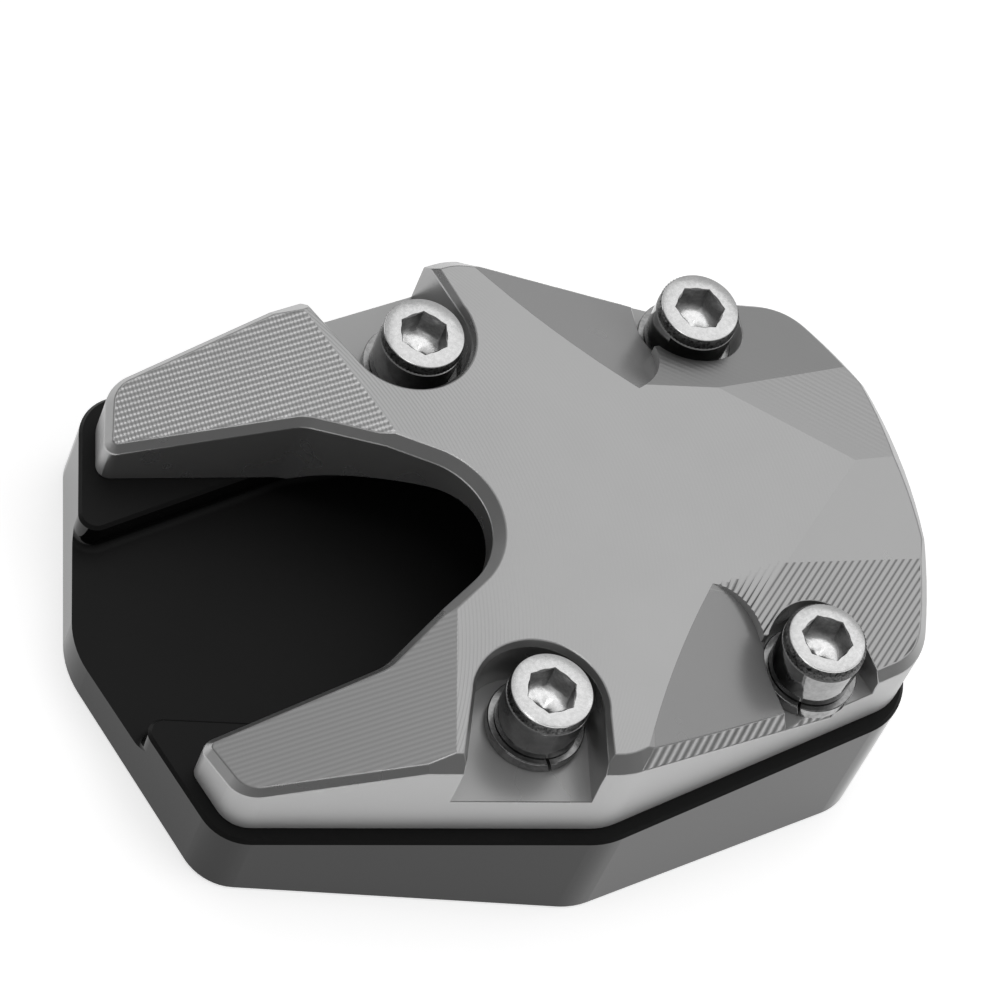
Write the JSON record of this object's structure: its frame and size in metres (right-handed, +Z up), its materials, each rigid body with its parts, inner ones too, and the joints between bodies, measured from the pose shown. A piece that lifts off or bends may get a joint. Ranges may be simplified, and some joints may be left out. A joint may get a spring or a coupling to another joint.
{
  "type": "kickstand foot enlarger",
  "caption": "Wedge-shaped foot plate for a motorbike side stand: a channelled black base under a forked grey clamp plate, held by socket-head screws with lock washers.",
  "frame": {"origin": "centre of the ground face, at the middle of the part's length and width", "axes": "+X from the fork end, where the stand's leg comes out, to the nose; +Z up from the ground"},
  "size_m": [0.102, 0.0746, 0.0352],
  "materials": {
    "black_anodised_aluminium": "satin black anodised",
    "grey_anodised_aluminium": "milled, satin grey anodised",
    "plated_steel": "bright plated",
    "spring_steel": "bright plated"
  },
  "bodies": {
    "root": {"base_plate": "black_anodised_aluminium", "clamp_plate": "grey_anodised_aluminium", "cap_screws": "plated_steel", "lock_washers": "spring_steel"}
  },
  "joints": []
}
